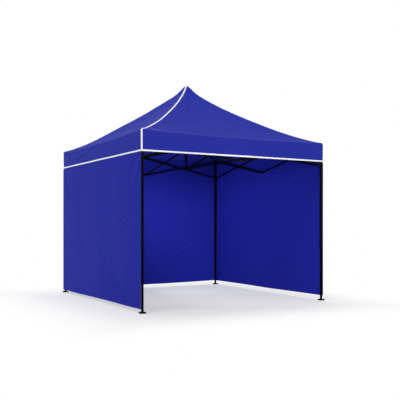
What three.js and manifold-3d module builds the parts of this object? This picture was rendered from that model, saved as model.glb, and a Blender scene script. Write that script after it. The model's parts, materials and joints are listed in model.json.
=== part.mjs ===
// A pop up canopy: four telescopic legs joined by scissor trusses, a mast under
// the peak, one roof with its valances, and walls on three sides.
// Lengths are in millimetres. Z is up, the open front faces -Y, and the origin
// is on the ground under the peak. Everything is shown open and standing.
import * as THREE from "three";
import { mergeVertices } from "three/addons/utils/BufferGeometryUtils.js";
import Module from "manifold-3d";

const wasm = await Module();
wasm.setup();

// The whole canopy
const legSpacing = 2940;
const upperPivotHeight = 2290;
const trussHeight = 290;
const eaveRise = 36;

// Gaps and joints that many pieces share
const touchGap = 0.3;
const runningGap = 0.5;
const swingGap = 1;
const overrun = 2;
const pinRadius = 3;
const pinGap = 0.3;
const pinSides = 6;
const sides = ["front", "right", "back", "left"];
const corners = ["front_left", "front_right", "back_right", "back_left"];

// Scissor bars, which are flat steel tubes
const barWidth = 24;
const barThickness = 12;
const barWall = 0.9;
const barEnd = 10;
const barChamfer = 5;
const barSpacing = 1;
const rivetHeadRadius = 6;
const rivetHeadThickness = 2;

// Clevis plates, which hold the end of one bar between them
const plateThickness = 3;
const plateHalfHeight = 10;
const plateEnd = 10;
const plateChamfer = 5;

// Knuckles at the middle of each side, and hubs at the centre
const knuckleHalfLength = 18;
const knuckleHalfHeight = 14;
const knuckleInnerFace = 8;
const hubHalfHeight = 14;
const hubFacets = 12;

// Telescopic legs
const tubeHalf = 15;
const tubeWall = 1.2;
const bracketWall = 4.5;
const bracketDrop = 18;
const legCapThickness = 8;
const collarWall = 3.5;
const collarBottom = 782;
const collarHeight = 50;
const collarStep = 8;
const collarLip = 0.4;
const innerGap = 1.3;
const innerWall = 1.2;
const innerOverlap = 128;
const footHalf = 33;
const footThickness = 6;
const pegHoleRadius = 5;
const pegHoleInset = 12;
const stopHoleRadius = 4.5;
const stopHoleSpacing = 60;
const stopHoleCount = 4;
const holeFacets = 6;

// Sliders that run on the outer legs
const sliderWall = 6;
const sliderGap = 0.4;
const sliderHalfHeight = 20;

// Push buttons on the sliders and on the leg collars
const buttonRadius = 5.5;
const buttonTravel = 3;
const buttonStand = 6;
const buttonRound = 1.5;
const buttonGap = 0.3;
const buttonBackGap = 1;
const buttonFacets = 8;
const sliderButtonAside = 12;

// Mast, its guide in the upper hub and its sprung tip
const mastRadius = 12.5;
const mastWall = 1.2;
const mastSocketWall = 5;
const mastSocketHeight = 26;
const mastSocketDepth = 8;
const tipLip = 3;
const tipHeight = 20;
const tipTravel = 20;
const tipStemGap = 0.4;
const tipStemLength = 90;
const tipRound = 6;
const guideWall = 3;
const guideBush = 20;
const guideDepth = 199;
const foldedSpan = 64;

// Roof cloth
const clothThickness = 1;
const clothClearance = 8.6;
const valanceHeight = 274;
const valanceWave = 7;
const goreSag = 34;
const roofColumns = 8;
const valanceRows = 2;
const valanceWaves = 3;
// The hips, from the eave to the peak: how far out, and how far up
const hipShares = [
  [1, 0],
  [0.88, 0.054],
  [0.68, 0.207],
  [0.5, 0.374],
  [0.34, 0.537],
  [0.2, 0.685],
  [0.1, 0.825],
  [0.035, 0.935],
];

// Wall cloth
const wallTopDrop = 28;
const wallBottom = 60;
const wallEndGap = 3;
const wallFold = 18;
const wallFoldDrop = 60;
const wallFoldSideGap = 60;
const wallColumns = 18;
const wallRows = 9;

// Worked out from the sizes above
const legHalf = legSpacing / 2;
const lowerPivotHeight = upperPivotHeight - trussHeight;
const bracketHalf = tubeHalf + bracketWall;
const collarHalf = tubeHalf + collarWall;
const collarTop = collarBottom + collarHeight;
const collarMiddle = collarBottom + collarHeight / 2;
const tubeBottom = collarBottom + collarStep;
const innerHalf = tubeHalf - tubeWall - innerGap;
const innerTop = collarTop + innerOverlap;
const tipRadius = mastRadius + tipLip;
const barOffset = (barThickness + barSpacing) / 2;
const plateReach = barOffset + barThickness / 2 + runningGap + plateThickness;
const barReach = Math.max(
  Math.hypot(barEnd, barWidth / 2 - barChamfer),
  Math.hypot(barEnd - barChamfer, barWidth / 2),
);
const sliderHalf = tubeHalf + sliderGap + sliderWall;
const legPivot = Math.max(sliderHalf, bracketHalf) + swingGap + barReach;
const knuckleSidePivot = knuckleHalfLength + swingGap + barReach;
const knuckleInnerPivot = knuckleInnerFace + swingGap + barReach;
const hubPivot = legPivot + knuckleSidePivot - knuckleInnerPivot;
const hubRadius = hubPivot - barReach - swingGap;
const openSpan = legHalf - legPivot - knuckleSidePivot;
const barLength = Math.hypot(openSpan, trussHeight);
const openTilt = Math.atan2(trussHeight, openSpan);
const foldDrop = Math.sqrt(barLength ** 2 - foldedSpan ** 2) - trussHeight;
const pinHoleRadius = (pinRadius + pinGap) / Math.cos(Math.PI / pinSides);
const buttonHoleRadius = (buttonRadius + buttonGap) / Math.cos(Math.PI / buttonFacets);
const eaveHeight = upperPivotHeight + eaveRise;
const roofHalf = legHalf + sliderHalf + clothClearance;
const wallOuter = roofHalf - clothThickness - touchGap;
const wallTop = eaveHeight - wallTopDrop;
const wallFoldTop = lowerPivotHeight - wallFoldDrop;
// With the canopy folded and the tip pressed in, its lip just clears the guide's bush
const tipTop = upperPivotHeight - guideDepth + guideBush + swingGap + foldDrop + tipHeight + tipTravel;
const roofRise = riseOver(tipTop - tipRound + runningGap);
const peakHeight = eaveHeight + roofRise;
const legTopHeight = underHip(legHalf + bracketHalf) - touchGap;
const tipStemRadius = (mastRadius - mastWall) * Math.cos(Math.PI / hubFacets) - tipStemGap;
const mastTop = tipTop - tipHeight - tipTravel - touchGap;

const steel = new THREE.MeshStandardMaterial({ color: 0x17181a, roughness: 0.4, metalness: 0.6 });
const nylon = new THREE.MeshStandardMaterial({ color: 0x121314, roughness: 0.6, metalness: 0 });
const cloth = new THREE.MeshStandardMaterial({ color: 0x2b339b, roughness: 0.75, metalness: 0 });

// How far a gore hangs below its hips, at a level given by its share outwards
function sagAt(outShare) {
  return goreSag * Math.sin(Math.PI * Math.sqrt(1 - outShare));
}

// The height of the cloth's underside near the eave, beside a hip
function underHip(out) {
  const [outShare, upShare] = hipShares[1];
  const inset = 1 - out / (roofHalf - clothThickness);
  const sag = sagAt(outShare) * (1 - (1 - 2 / roofColumns) ** 2);
  return eaveHeight - clothThickness + ((roofRise * upShare - sag) * inset) / (1 - outShare);
}

// How far the peak lies above the eave, where the cloth's underside just clears
// the rim of the tip. It falls there from the peak to the middle of a gore.
function riseOver(rimHeight) {
  const [outShare, upShare] = hipShares.at(-1);
  const rimShare = tipRadius / ((roofHalf - clothThickness) * outShare);
  const sag = sagAt(outShare) * rimShare;
  return (rimHeight - eaveHeight + clothThickness + sag) / (1 - (1 - upShare) * rimShare);
}

// A closed geometry as a solid that can be joined and cut
function solidOf(geometry) {
  geometry.deleteAttribute("normal");
  geometry.deleteAttribute("uv");
  const merged = mergeVertices(geometry);
  return new wasm.Manifold(
    new wasm.Mesh({
      numProp: 3,
      vertProperties: merged.attributes.position.array,
      triVerts: new Uint32Array(merged.index.array),
    }),
  );
}

function join(solids) {
  return solids.reduce((whole, next) => whole.add(next));
}

function cut(solid, tools) {
  return tools.reduce((left, tool) => left.subtract(tool), solid);
}

function turned(solid, angle) {
  return solid.rotate([0, 0, THREE.MathUtils.radToDeg(angle)]);
}

function moved(solid, x, y, z) {
  return solid.translate([x, y, z]);
}

function named(name, solid, material) {
  const { vertProperties, triVerts } = solid.getMesh();
  const geometry = new THREE.BufferGeometry();
  geometry.setAttribute("position", new THREE.BufferAttribute(vertProperties, 3));
  geometry.setIndex(new THREE.BufferAttribute(triVerts, 1));
  const mesh = new THREE.Mesh(geometry, material);
  mesh.name = name;
  return mesh;
}

// A box between two values on each axis
function block([x0, x1], [y0, y1], [z0, z1]) {
  const box = new THREE.BoxGeometry(x1 - x0, y1 - y0, z1 - z0);
  return solidOf(box.translate((x0 + x1) / 2, (y0 + y1) / 2, (z0 + z1) / 2));
}

// A square post round the Z axis
function post(half, bottom, top) {
  return block([-half, half], [-half, half], [bottom, top]);
}

// A round rod along one axis, from one value to another
function rod(axis, radius, from, to, facets) {
  const cylinder = new THREE.CylinderGeometry(radius, radius, to - from, facets);
  cylinder.translate(0, (from + to) / 2, 0);
  if (axis === "x") cylinder.rotateZ(-Math.PI / 2);
  if (axis === "z") cylinder.rotateX(Math.PI / 2);
  return solidOf(cylinder);
}

// An outline seen from the side, in X and Z, made thick along Y
function sidePlate(points, y0, y1) {
  const shape = new THREE.Shape(points.map(([x, z]) => new THREE.Vector2(x, z)));
  const plate = new THREE.ExtrudeGeometry(shape, { depth: y1 - y0, bevelEnabled: false });
  return solidOf(plate.rotateX(Math.PI / 2).translate(0, y1, 0));
}

// Both plates and the pin that hold a bar's end. They point along +X before
// they are turned, and the bar's middle plane lies at y = offset.
function clevis(angle, base, pivot, offset) {
  const end = pivot + plateEnd;
  const outline = [
    [base, -plateHalfHeight],
    [end - plateChamfer, -plateHalfHeight],
    [end, -plateHalfHeight + plateChamfer],
    [end, plateHalfHeight - plateChamfer],
    [end - plateChamfer, plateHalfHeight],
    [base, plateHalfHeight],
  ];
  const inner = barThickness / 2 + runningGap;
  const outer = inner + plateThickness;
  const set = inner + plateThickness / 2;
  const pin = rod("y", pinRadius, offset - set, offset + set, pinSides);
  const pieces = [
    sidePlate(outline, offset - outer, offset - inner),
    sidePlate(outline, offset + inner, offset + outer),
    moved(pin, pivot, 0, 0),
  ];
  return turned(join(pieces), angle);
}

// A scissor bar along X, centred on its crossing. One bar of each pair carries
// the rivet and the other has the hole for it.
function scissorBar(withRivet) {
  const half = barWidth / 2;
  const end = barLength / 2 + barEnd;
  const outline = [
    [-end, -half + barChamfer],
    [-end + barChamfer, -half],
    [end - barChamfer, -half],
    [end, -half + barChamfer],
    [end, half - barChamfer],
    [end - barChamfer, half],
    [-end + barChamfer, half],
    [-end, half - barChamfer],
  ];
  const face = barThickness / 2;
  const channel = block(
    [-end - overrun, end + overrun],
    [-face + barWall, face - barWall],
    [-half + barWall, half - barWall],
  );
  const hole = rod("y", pinHoleRadius, -face - overrun, face + overrun, pinSides);
  const holes = [moved(hole, -barLength / 2, 0, 0), moved(hole, barLength / 2, 0, 0)];
  if (!withRivet) holes.push(hole);
  const bar = cut(sidePlate(outline, -face, face), [channel, ...holes]);
  if (!withRivet) return bar;
  const far = -2 * barOffset - face - runningGap;
  const shank = rod("y", pinRadius, far - rivetHeadThickness, face - barWall / 2, pinSides);
  const head = rod("y", rivetHeadRadius, far - rivetHeadThickness, far, holeFacets);
  return join([bar, shank, head]);
}

// The knuckle at the middle of a side, seen from outside. sideOffset is where
// its two side bars lie, and innerOffset where its bar to the centre lies.
function knuckle(sideOffset, innerOffset) {
  const inside = knuckleHalfLength - plateThickness;
  const cheek = block(
    [plateReach - plateThickness, knuckleHalfLength],
    [knuckleInnerFace - plateThickness, plateReach],
    [-knuckleHalfHeight, knuckleHalfHeight],
  );
  return join([
    block(
      [-knuckleHalfLength, knuckleHalfLength],
      [-plateReach, knuckleInnerFace],
      [-knuckleHalfHeight, knuckleHalfHeight],
    ),
    cheek,
    cheek.mirror([1, 0, 0]),
    clevis(0, inside, knuckleSidePivot, sideOffset),
    clevis(Math.PI, inside, knuckleSidePivot, -sideOffset),
    clevis(Math.PI / 2, knuckleInnerFace - plateThickness, knuckleInnerPivot, -innerOffset),
  ]);
}

function hub(offset) {
  const core = rod("z", hubRadius, -hubHalfHeight, hubHalfHeight, hubFacets);
  const base = Math.sqrt(hubRadius ** 2 - plateReach ** 2) - plateThickness;
  const forks = sides.map((side, k) => clevis((k - 1) * (Math.PI / 2), base, hubPivot, offset));
  return join([core, ...forks]);
}

// The upper hub has a guide below it, which the mast and its tip run in
function upperHub() {
  const guideBottom = -guideDepth;
  const bushTop = guideBottom + guideBush;
  const facing = Math.cos(Math.PI / hubFacets);
  const boreRadius = (tipRadius + runningGap) / facing;
  const bushRadius = (mastRadius + runningGap) / facing;
  const guide = rod("z", boreRadius + guideWall, guideBottom, hubHalfHeight, hubFacets);
  return cut(join([hub(barOffset), guide]), [
    rod("z", boreRadius, bushTop, hubHalfHeight + overrun, hubFacets),
    rod("z", bushRadius, guideBottom - overrun, bushTop + overrun, hubFacets),
  ]);
}

function lowerHub() {
  const socketRadius = (mastRadius + touchGap) / Math.cos(Math.PI / hubFacets);
  const socketTop = hubHalfHeight + mastSocketHeight;
  const socket = rod("z", socketRadius + mastSocketWall, 0, socketTop, hubFacets);
  const bore = rod("z", socketRadius, -mastSocketDepth, socketTop + overrun, hubFacets);
  return cut(join([hub(-barOffset), socket]), [bore]);
}

// The mast stands in the lower hub's socket and is open at the top
function mast() {
  const bottom = lowerPivotHeight - mastSocketDepth + touchGap;
  const bore = rod("z", mastRadius - mastWall, bottom + mastWall, mastTop + overrun, hubFacets);
  return cut(rod("z", mastRadius, bottom, mastTop, hubFacets), [bore]);
}

// The tip is turned about Z: a domed cap on a stem that slides in the mast
function mastTip() {
  const bottom = tipTop - tipHeight;
  const profile = [
    [0, bottom - tipStemLength],
    [tipStemRadius, bottom - tipStemLength],
    [tipStemRadius, bottom],
    [tipRadius, bottom],
    [tipRadius, tipTop - tipRound],
    [tipRadius - tipRound, tipTop],
    [0, tipTop],
  ];
  const points = profile.map(([r, z]) => new THREE.Vector2(r, z));
  return solidOf(new THREE.LatheGeometry(points, hubFacets).rotateX(Math.PI / 2));
}

// The outer leg with its top bracket and its bottom collar, round the Z axis.
// Its two clevises hold the high ends of the bars on both neighbouring sides.
function outerLeg() {
  const bracketBottom = upperPivotHeight - bracketDrop;
  const inside = tubeHalf - tubeWall;
  const lip = innerHalf + collarLip;
  const base = bracketHalf - plateThickness;
  const buttonHole = rod("x", buttonHoleRadius, 0, collarHalf + overrun, buttonFacets);
  const solid = join([
    post(tubeHalf, tubeBottom, legTopHeight),
    post(bracketHalf, bracketBottom, legTopHeight),
    post(collarHalf, collarBottom, collarTop),
    moved(clevis(0, base, legPivot, barOffset), 0, 0, upperPivotHeight),
    moved(clevis(Math.PI / 2, base, legPivot, -barOffset), 0, 0, upperPivotHeight),
  ]);
  return cut(solid, [
    post(inside, tubeBottom, legTopHeight - legCapThickness),
    post(lip, collarBottom - overrun, tubeBottom + overrun),
    moved(buttonHole, 0, 0, collarMiddle),
  ]);
}

// The inner leg with its row of stop holes and the foot plate welded under it
function innerLeg() {
  const bore = innerHalf - innerWall;
  const pegPlace = footHalf - pegHoleInset;
  const stopHole = rod("x", stopHoleRadius, bore - overrun, innerHalf + overrun, holeFacets);
  const pegHole = rod("z", pegHoleRadius, -overrun, footThickness + overrun, holeFacets);
  const stops = Array.from({ length: stopHoleCount }, (_, k) =>
    moved(stopHole, 0, 0, collarMiddle - k * stopHoleSpacing),
  );
  return cut(join([post(innerHalf, 0, innerTop), post(footHalf, 0, footThickness)]), [
    post(bore, footThickness, innerTop + overrun),
    moved(pegHole, pegPlace, pegPlace, 0),
    moved(pegHole, -pegPlace, -pegPlace, 0),
    ...stops,
  ]);
}

// The slider holds the low ends of the bars on both neighbouring sides
function slider() {
  const base = sliderHalf - plateThickness;
  const hole = rod("x", buttonHoleRadius, tubeHalf, sliderHalf + overrun, buttonFacets);
  const solid = join([
    post(sliderHalf, -sliderHalfHeight, sliderHalfHeight),
    clevis(0, base, legPivot, -barOffset),
    clevis(Math.PI / 2, base, legPivot, barOffset),
  ]);
  return cut(solid, [
    post(tubeHalf + sliderGap, -sliderHalfHeight - overrun, sliderHalfHeight + overrun),
    moved(hole, 0, sliderButtonAside, 0),
  ]);
}

// A push button along +X. It can be pressed until it nearly meets what lies
// behind it, and stands out of the face that it is pressed into.
function button(behind, face) {
  const back = behind + buttonBackGap + buttonTravel;
  const front = face + buttonStand;
  const profile = [
    [0, back],
    [buttonRadius, back],
    [buttonRadius, front - buttonRound],
    [buttonRadius - buttonRound, front],
    [0, front],
  ];
  const points = profile.map(([r, x]) => new THREE.Vector2(r, x));
  return solidOf(new THREE.LatheGeometry(points, buttonFacets).rotateZ(-Math.PI / 2));
}

// A closed skin from rows of outer points and the same rows of inner points.
// A ring's rows close on themselves; a sheet's don't, and it gets side edges.
function skin(outer, inner, closed, outerPole, innerPole) {
  const rows = outer.length;
  const columns = outer[0].length;
  const steps = closed ? columns : columns - 1;
  const places = [...outer.flat(), ...inner.flat()];
  const triangles = [];
  const at = (layer, row, column) => (layer * rows + row) * columns + (column % columns);
  const quad = (a, b, c, d) => triangles.push(a, b, c, a, c, d);
  for (let row = 0; row < rows - 1; row += 1) {
    for (let k = 0; k < steps; k += 1) {
      quad(at(0, row, k), at(0, row, k + 1), at(0, row + 1, k + 1), at(0, row + 1, k));
      quad(at(1, row, k), at(1, row + 1, k), at(1, row + 1, k + 1), at(1, row, k + 1));
    }
    if (!closed) {
      const last = columns - 1;
      quad(at(0, row, 0), at(0, row + 1, 0), at(1, row + 1, 0), at(1, row, 0));
      quad(at(0, row, last), at(1, row, last), at(1, row + 1, last), at(0, row + 1, last));
    }
  }
  const top = rows - 1;
  for (let k = 0; k < steps; k += 1) {
    quad(at(0, 0, k), at(1, 0, k), at(1, 0, k + 1), at(0, 0, k + 1));
    if (!outerPole) quad(at(0, top, k), at(0, top, k + 1), at(1, top, k + 1), at(1, top, k));
  }
  if (outerPole) {
    const pole = places.push(outerPole, innerPole) - 2;
    for (let k = 0; k < steps; k += 1) {
      triangles.push(at(0, top, k), at(0, top, k + 1), pole);
      triangles.push(at(1, top, k + 1), at(1, top, k), pole + 1);
    }
  }
  const geometry = new THREE.BufferGeometry();
  geometry.setAttribute("position", new THREE.Float32BufferAttribute(places.flat(), 3));
  geometry.setIndex(triangles);
  return solidOf(geometry);
}

// One square ring of points round the canopy. Each side is shaped by a function
// of its share along the side, from -1 to 1, that gives [outward, up].
function squareRing(half, shape) {
  const points = [];
  for (const side of sides.keys()) {
    const angle = side * (Math.PI / 2);
    for (let k = 0; k < roofColumns; k += 1) {
      const along = (2 * k) / roofColumns - 1;
      const [out, up] = shape(along);
      const place = new THREE.Vector3(half * along, -half - out, up);
      points.push(place.applyAxisAngle(new THREE.Vector3(0, 0, 1), angle).toArray());
    }
  }
  return points;
}

// The roof and its valances in one skin, from the hem up to the peak
function roof() {
  const layer = (inset) => {
    const rows = [];
    for (let k = 0; k < valanceRows; k += 1) {
      const down = 1 - k / valanceRows;
      const up = eaveHeight - valanceHeight * down;
      const wave = (along) =>
        (valanceWave / 2) * down * (1 - along ** 2) * (1 + Math.sin(valanceWaves * Math.PI * along));
      rows.push(squareRing(roofHalf - inset, (along) => [wave(along), up]));
    }
    for (const [outShare, upShare] of hipShares) {
      const sag = sagAt(outShare);
      const up = (along) => eaveHeight - inset + roofRise * upShare - sag * (1 - along ** 2);
      rows.push(squareRing((roofHalf - inset) * outShare, (along) => [0, up(along)]));
    }
    return rows;
  };
  const pole = [0, 0, peakHeight];
  const poleInside = [0, 0, peakHeight - clothThickness];
  return skin(layer(0), layer(clothThickness), true, pole, poleInside);
}

// One wall, seen from outside with its left end first. It hangs flat beside the
// truss and the legs, and gathers into soft folds below and between them.
function wall(leftEnd, rightEnd, foldCount, creaseShare) {
  const rows = [];
  const height = wallTop - wallBottom;
  const width = rightEnd - leftEnd;
  for (let row = 0; row <= wallRows; row += 1) {
    const z = wallBottom + (height * row) / wallRows;
    const hang = THREE.MathUtils.smoothstep(wallFoldTop - z, 0, wallFoldTop / 2);
    const points = [];
    for (let k = 0; k <= wallColumns; k += 1) {
      const along = k / wallColumns;
      const x = leftEnd + width * along;
      const toSide = Math.min(x - leftEnd, rightEnd - x) - wallFoldSideGap;
      const free = THREE.MathUtils.smoothstep(toSide, 0, 3 * wallFoldSideGap);
      const low = 1 - (z - wallBottom) / height;
      const fold = Math.sin(foldCount * 2 * Math.PI * (along + creaseShare * low));
      points.push([x, (wallFold / 2) * hang * free * fold, z]);
    }
    rows.push(points);
  }
  const outer = rows.map((row) => row.map(([x, bulge, z]) => [x, -wallOuter - bulge, z]));
  const inner = outer.map((row) => row.map(([x, y, z]) => [x, y + clothThickness, z]));
  return skin(outer, inner, false);
}

function turnedGroup(quarter) {
  const group = new THREE.Group();
  group.rotation.z = quarter * (Math.PI / 2);
  return group;
}

function placed(mesh, x, y, z, tilt = 0) {
  mesh.position.set(x, y, z);
  mesh.rotation.y = tilt;
  return mesh;
}

const rivetBar = scissorBar(true);
const holeBar = scissorBar(false);
const upperKnuckle = knuckle(-barOffset, -barOffset);
const lowerKnuckle = knuckle(barOffset, barOffset);
const outerLegSolid = outerLeg();
const innerLegSolid = innerLeg();
const sliderSolid = slider();
const sliderButton = button(tubeHalf, sliderHalf);
const legButton = button(innerHalf, collarHalf);

// The truss of one side, with the bars that run from it to the centre. In the
// group's own frame the side faces -Y, whichever side it is.
function trussSide(quarter) {
  const side = sides[quarter];
  const group = turnedGroup(quarter);
  const middleHeight = (upperPivotHeight + lowerPivotHeight) / 2;
  const ends = [corners[quarter], corners[(quarter + 1) % corners.length]];
  const barMiddle = (knuckleSidePivot + legHalf - legPivot) / 2;
  ends.forEach((corner, k) => {
    const way = k === 0 ? -1 : 1;
    const high = named(`${side}_bar_to_${corner}_top`, rivetBar, steel);
    const low = named(`${side}_bar_to_${corner}_slider`, holeBar, steel);
    const x = way * barMiddle;
    group.add(placed(high, x, -legHalf + barOffset, middleHeight, -way * openTilt));
    group.add(placed(low, x, -legHalf - barOffset, middleHeight, way * openTilt));
  });
  const inward = new THREE.Group();
  inward.rotation.z = -Math.PI / 2;
  const centreMiddle = (hubPivot + legHalf - knuckleInnerPivot) / 2;
  const fromTop = named(`${side}_bar_from_upper_hub`, rivetBar, steel);
  const fromBottom = named(`${side}_bar_from_lower_hub`, holeBar, steel);
  inward.add(placed(fromTop, centreMiddle, barOffset, middleHeight, openTilt));
  inward.add(placed(fromBottom, centreMiddle, -barOffset, middleHeight, -openTilt));
  const upper = named(`${side}_upper_knuckle`, upperKnuckle, nylon);
  const lower = named(`${side}_lower_knuckle`, lowerKnuckle, nylon);
  group.add(inward);
  group.add(placed(upper, 0, -legHalf, upperPivotHeight));
  group.add(placed(lower, 0, -legHalf, lowerPivotHeight));
  return group;
}

// One leg with its slider and its two buttons, at the left end of its side
function legCorner(quarter) {
  const corner = corners[quarter];
  const group = turnedGroup(quarter);
  const leg = new THREE.Group();
  leg.position.set(-legHalf, -legHalf, 0);
  leg.add(named(`${corner}_outer_leg`, outerLegSolid, steel));
  leg.add(named(`${corner}_inner_leg`, innerLegSolid, steel));
  leg.add(placed(named(`${corner}_slider`, sliderSolid, nylon), 0, 0, lowerPivotHeight));
  const release = named(`${corner}_slider_button`, sliderButton, nylon);
  leg.add(placed(release, 0, sliderButtonAside, lowerPivotHeight));
  const height = named(`${corner}_height_button`, legButton, nylon);
  leg.add(placed(height, 0, 0, collarMiddle));
  group.add(leg);
  return group;
}

// The three walls. The side walls stop behind the front legs, and at the back
// they meet the back wall's inner face.
function wallSide(quarter) {
  const group = turnedGroup(quarter);
  const frontEnd = legHalf - tubeHalf - wallEndGap;
  const backEnd = wallOuter - clothThickness - touchGap;
  const spans = { right: [-frontEnd, backEnd], back: [-wallOuter, wallOuter], left: [-backEnd, frontEnd] };
  const folds = { right: [3, 0.1], back: [4, 0.08], left: [3, -0.12] };
  const side = sides[quarter];
  const [foldCount, creaseShare] = folds[side];
  group.add(named(`${side}_wall`, wall(...spans[side], foldCount, creaseShare), cloth));
  return group;
}

const canopy = new THREE.Group();
sides.forEach((side, quarter) => canopy.add(trussSide(quarter)));
corners.forEach((corner, quarter) => canopy.add(legCorner(quarter)));
[1, 2, 3].forEach((quarter) => canopy.add(wallSide(quarter)));
canopy.add(placed(named("upper_hub", upperHub(), nylon), 0, 0, upperPivotHeight));
canopy.add(placed(named("lower_hub", lowerHub(), nylon), 0, 0, lowerPivotHeight));
canopy.add(named("mast", mast(), steel));
canopy.add(named("mast_tip", mastTip(), nylon));
canopy.add(named("roof_cover", roof(), cloth));

export default canopy;
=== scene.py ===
"""A pop up canopy: its cloth, binding, fasteners and finishes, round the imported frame.

Lengths are in metres, in the frame's own axes: Z is up and the open front faces -Y.
"""

import json
import math
from functools import partial

import bpy
import numpy as np
from mathutils import Matrix, Vector


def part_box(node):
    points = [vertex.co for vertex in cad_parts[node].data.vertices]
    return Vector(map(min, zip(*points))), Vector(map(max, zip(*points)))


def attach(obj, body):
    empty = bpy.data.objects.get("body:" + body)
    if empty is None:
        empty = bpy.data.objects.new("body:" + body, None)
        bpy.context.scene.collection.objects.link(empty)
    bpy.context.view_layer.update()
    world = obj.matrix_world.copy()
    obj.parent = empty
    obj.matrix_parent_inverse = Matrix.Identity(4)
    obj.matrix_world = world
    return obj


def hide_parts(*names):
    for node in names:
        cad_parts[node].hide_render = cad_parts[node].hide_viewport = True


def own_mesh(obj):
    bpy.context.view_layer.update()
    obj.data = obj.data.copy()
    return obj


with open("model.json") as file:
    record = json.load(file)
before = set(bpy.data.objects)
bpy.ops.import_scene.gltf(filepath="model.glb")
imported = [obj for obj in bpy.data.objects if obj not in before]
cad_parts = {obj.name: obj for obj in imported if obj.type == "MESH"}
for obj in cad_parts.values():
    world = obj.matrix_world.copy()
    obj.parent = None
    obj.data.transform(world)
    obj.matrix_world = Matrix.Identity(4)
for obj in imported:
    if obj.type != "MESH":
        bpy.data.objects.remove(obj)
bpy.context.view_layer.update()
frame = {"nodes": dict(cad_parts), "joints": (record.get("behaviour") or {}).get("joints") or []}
JOINTS = {joint["name"]: joint for joint in frame["joints"]}

SIDES = ["front", "right", "back", "left"]
CORNERS = ["front_left", "front_right", "back_right", "back_left"]

# Places read from the frame
LEG_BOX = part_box("front_left_inner_leg")
LEG_HALF = -(LEG_BOX[0].x + LEG_BOX[1].x) / 2
HUB_PIVOT = JOINTS["fold"]["pos_m"]
KNUCKLE_PIVOT = JOINTS["front_upper_knuckle_hinge"]["pos_m"]
UPPER = HUB_PIVOT[2]
LOWER = JOINTS["lower_hub_hinge"]["pos_m"][2]
KNUCKLE_HALF = -JOINTS["front_front_left_rising_hinge"]["pos_m"][0]
LEG_PIN = -JOINTS["front_left_leg_hinge"]["pos_m"][0]
HEM, PEAK = (point.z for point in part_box("roof_cover"))
WALL_BOTTOM, WALL_TOP = (point.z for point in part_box("back_wall"))

# How far the frame gathers when it folds
OPEN_SPAN = HUB_PIVOT[1] - KNUCKLE_PIVOT[1]
BAR = math.hypot(OPEN_SPAN, UPPER - LOWER)
FOLDED_TILT = math.atan2(UPPER - LOWER, OPEN_SPAN) + math.radians(JOINTS["fold"]["range_deg"][1])
FOLD_TRAVEL = OPEN_SPAN - BAR * math.cos(FOLDED_TILT)
FOLD_DROP = BAR * math.sin(FOLDED_TILT) - (UPPER - LOWER)

# Roof cloth
EAVE_RISE = 0.0395
EAVE = UPPER + EAVE_RISE
ROOF_BEYOND_LEGS = 0.03
ROOF_HALF = LEG_HALF + ROOF_BEYOND_LEGS
ROOF_RISE = PEAK - EAVE
CLOTH = 0.0008
GORE_SAG = 0.034
EAVE_SAG = 0.017
STRIPS = 16
CAP_HALF = 0.018
# How far the cloth bends over the eave, at the middle of a side and at its corners
EAVE_ROUND = 0.034
CORNER_ROUND = 0.012
# How far from a corner the cloth turns round it, at the eave and at the hem
EAVE_TURN = 0.034
HEM_TURN = 0.044
# The peak leans a little to one side, over this share of the roof
PEAK_LEAN = (0.0087, -0.0049)
LEAN_SHARE = 0.12
# The hips, from the peak to the eave: how far out, and how far up
HIP_OUT_SHARES = [0, 0.016, 0.035, 0.06, 0.1, 0.15, 0.2, 0.34, 0.5, 0.68, 0.78, 0.88, 0.94, 1]
HIP_UP_SHARES = [1, 0.99, 0.955, 0.9, 0.828, 0.757, 0.69, 0.53, 0.37, 0.208, 0.131, 0.062, 0.026, 0]
# How much fuller or flatter than that each hip hangs, in the order of the corners
HIP_LEANS = [-0.006, 0.008, 0.01, 0.033]

# White binding
HEM_TAPE = 0.0195
CORNER_TAPE = 0.0165
HIP_TAPE = 0.013
TAPE_LIFT = 0.0013
# The most of a side's half that a tape's half covers, near the peak
TAPE_REACH_SHARE = 0.98
# Places across a folded tape, and how many lifts thick it is at each
SEAM_SHARES = [-1.0, -0.92, -0.55, -0.26, -0.12, 0.0, 0.12, 0.26, 0.55, 0.92, 1.0]
CORNER_THICK_SHARES = [0.2, 1.0, 1.0, 1.6, 5.6, 7.4, 5.6, 1.6, 1.0, 1.0, 0.2]
HIP_THICK_SHARES = [0.2, 1.0, 1.0, 1.3, 2.7, 3.4, 2.7, 1.3, 1.0, 1.0, 0.2]

# Walls
WALL_INSET = 0.004
WALL_HEM = 0.025
# How much further in a wall's top lies, and from how far below the roof's hem
WALL_TUCK = 0.0015
TUCK_DROP = 0.03
FOOT_WAVE = 0.0025
FOLD_LINE_HEIGHTS = [0.42, 0.955, 1.49]
FOLD_LINE_WIDTH = 0.006
GRID_STEP = 0.026
# The side walls reach this far over the front legs
LEG_LAP = 0.032
# Each wall's foot above the ground at its left and right end as seen from outside, its seam's place,
# how many broad waves it hangs in, and how far these lean
WALLS = {
    1: {"feet": (0.066, 0.07), "seam_share": 0.5, "waves": 3.0, "lean": 0.1},
    2: {"feet": (0.07, 0.042), "seam_share": 0.5, "waves": 4.0, "lean": 0.08},
    3: {"feet": (0.042, 0.055), "seam_share": 0.523, "waves": 3.0, "lean": -0.12},
}

# Camera, from the fit to the photograph's 400 pixels
CAMERA_PLACE = (-5.008, -8.815, 1.127)
CAMERA_AZIMUTH = -29.06
FOCAL_PIXELS = 644.1
HORIZON_PIXEL = (179.97, 224.25)
FRAME_PIXELS = 400
SENSOR_MM = 36
CLIP_END = 500


# Shaders


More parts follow.
